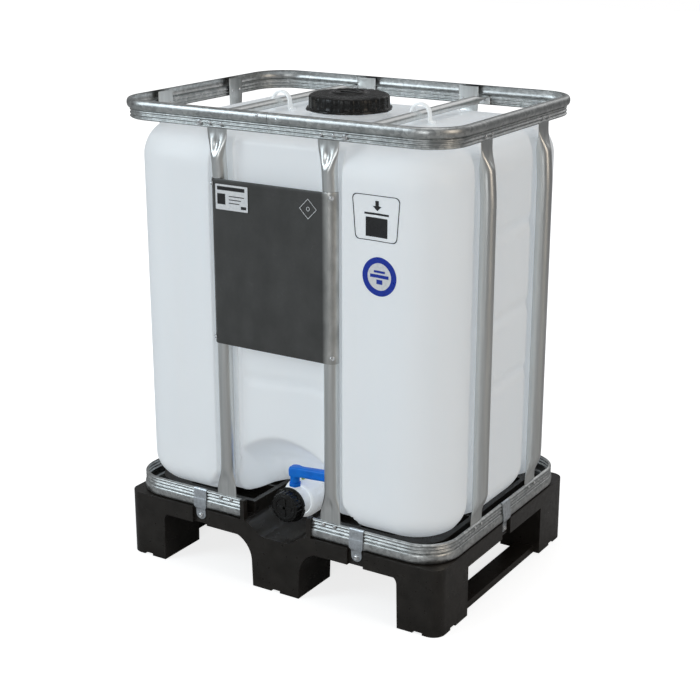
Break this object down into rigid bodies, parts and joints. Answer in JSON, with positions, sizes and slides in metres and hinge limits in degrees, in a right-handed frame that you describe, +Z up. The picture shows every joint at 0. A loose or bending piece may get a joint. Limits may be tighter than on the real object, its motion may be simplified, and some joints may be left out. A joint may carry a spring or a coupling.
{
  "type": "intermediate bulk container",
  "caption": "Small intermediate bulk container: white moulded tank in a tube and band steel frame on a plastic pallet, with a screw lid, a label plate and a lever outlet valve.",
  "frame": {"origin": "on the floor under the middle of the footprint", "axes": "+Z up, -Y towards the outlet valve, +X to the right of a person who faces the outlet"},
  "size_m": [0.828, 0.6, 1.04],
  "materials": {
    "pallet_plastic": "moulded, slightly worn",
    "galvanised_band": "roll-formed, galvanised",
    "galvanised_tube": "drawn tube, galvanised",
    "zinc_strap": "zinc plated",
    "zinc_screw": "zinc plated",
    "grey_plate": "dark grey, mottled",
    "tank_plastic": "translucent blow-moulded",
    "white_plastic": "moulded",
    "black_plastic": "moulded",
    "blue_plastic": "moulded",
    "seat_plastic": "machined",
    "seal_rubber": "smooth",
    "yellow_plastic": "moulded"
  },
  "bodies": {
    "root": {"bottom_ring": "galvanised_band", "clamp_front_left": "zinc_strap", "clamp_front_right": "zinc_strap", "clamp_left": "zinc_strap", "clamp_rear_left": "zinc_strap", "clamp_rear_right": "zinc_strap", "clamp_right": "zinc_strap", "clamp_screw_front_left": "zinc_screw", "clamp_screw_front_right": "zinc_screw", "clamp_screw_left": "zinc_screw", "clamp_screw_rear_left": "zinc_screw", "clamp_screw_rear_right": "zinc_screw", "clamp_screw_right": "zinc_screw", "crossbar_bolt_front_left": "zinc_screw", "crossbar_bolt_front_right": "zinc_screw", "crossbar_bolt_rear_left": "zinc_screw", "crossbar_bolt_rear_right": "zinc_screw", "crossbar_clip_left": "white_plastic", "crossbar_clip_right": "white_plastic", "crossbar_left": "galvanised_tube", "crossbar_right": "galvanised_tube", "label_plate": "grey_plate", "label_screw_lower_left": "zinc_screw", "label_screw_lower_right": "zinc_screw", "label_screw_upper_left": "zinc_screw", "label_screw_upper_right": "zinc_screw", "outlet_gasket": "seal_rubber", "pallet": "pallet_plastic", "seat_front": "seat_plastic", "seat_rear": "seat_plastic", "seat_retainer": "white_plastic", "stem_nut": "blue_plastic", "stem_oring": "seal_rubber", "tank": "tank_plastic", "top_ring": "galvanised_band", "transit_screw": "yellow_plastic", "union_nut": "white_plastic", "upright_front_left": "galvanised_tube", "upright_front_right": "galvanised_tube", "upright_left_front": "galvanised_tube", "upright_left_rear": "galvanised_tube", "upright_rear_left": "galvanised_tube", "upright_rear_right": "galvanised_tube", "upright_right_front": "galvanised_tube", "upright_right_rear": "galvanised_tube", "valve_body": "white_plastic"},
    "lid_seal": {"lid_gasket": "seal_rubber"},
    "lid": {"lid": "black_plastic"},
    "vent_seal": {"vent_gasket": "seal_rubber"},
    "vent_plug": {"vent_plug": "black_plastic"},
    "valve_drive": {"valve_handle": "blue_plastic", "valve_stem": "seat_plastic", "valve_ball": "seat_plastic"},
    "cap_seal": {"cap_gasket": "seal_rubber"},
    "valve_cap": {"valve_cap": "black_plastic"}
  },
  "joints": [
    {"name": "lid_lift", "type": "slide", "parent": "root", "child": "lid_seal", "axis": [0, 0, 1], "range_m": [0, 0.25]},
    {"name": "lid_turn", "type": "hinge", "parent": "lid_seal", "child": "lid", "pos_m": [0, 0, 1.02], "axis": [0, 0, 1], "range_deg": [0, 450]},
    {"name": "vent_lift", "type": "slide", "parent": "lid", "child": "vent_seal", "axis": [0, 0, 1], "range_m": [0, 0.12]},
    {"name": "vent_turn", "type": "hinge", "parent": "vent_seal", "child": "vent_plug", "pos_m": [0, 0, 1.035], "axis": [0, 0, 1], "range_deg": [0, 450]},
    {"name": "handle_turn", "type": "hinge", "parent": "root", "child": "valve_drive", "pos_m": [0, -0.22, 0.25], "axis": [0, 0, 1], "range_deg": [-90, 0]},
    {"name": "cap_pull", "type": "slide", "parent": "root", "child": "cap_seal", "axis": [0, -1, 0], "range_m": [0, 0.12]},
    {"name": "cap_turn", "type": "hinge", "parent": "cap_seal", "child": "valve_cap", "pos_m": [0, -0.255, 0.183], "axis": [0, -1, 0], "range_deg": [0, 450]}
  ]
}
